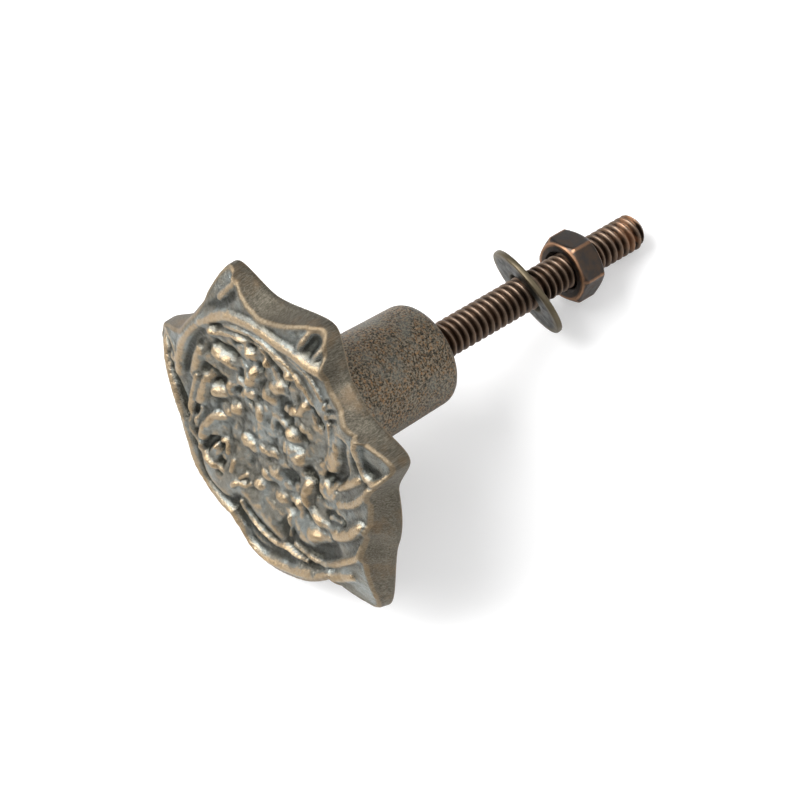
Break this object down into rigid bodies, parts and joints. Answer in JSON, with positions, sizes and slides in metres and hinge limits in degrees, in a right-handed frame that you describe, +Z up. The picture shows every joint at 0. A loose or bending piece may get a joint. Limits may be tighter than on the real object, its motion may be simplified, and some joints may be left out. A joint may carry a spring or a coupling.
{
  "type": "rosette cabinet knob",
  "caption": "Cast knob with a carved scrolled rosette face on a round stem, with a threaded stud that carries a washer and a hexagon nut.",
  "frame": {"origin": "middle of the stem's end face, which bears on the door, on the stud's axis", "axes": "+Y along the stud into the door, the rosette faces -Y into the room, +Z up"},
  "size_m": [0.0439, 0.0614, 0.0435],
  "materials": {
    "bronze": "aged cast bronze, rubbed bright on the ridges",
    "copper_steel": "copper-washed thread, dark in its roots",
    "dull_steel": "dull grey-green plate with a worn brassy edge",
    "brown_steel": "dark brown plate with worn edges"
  },
  "bodies": {
    "knob": {"knob_casting": "bronze", "threaded_stud": "copper_steel"},
    "washer": {"washer": "dull_steel"},
    "nut": {"hex_nut": "brown_steel"}
  },
  "joints": [
    {"name": "washer_slide", "type": "slide", "parent": "knob", "child": "washer", "axis": [0, 1, 0], "range_m": [-0.014, 0.00125]},
    {"name": "nut_run", "type": "slide", "parent": "knob", "child": "nut", "axis": [0, 1, 0], "range_m": [-0.00125, 0.0093]}
  ]
}
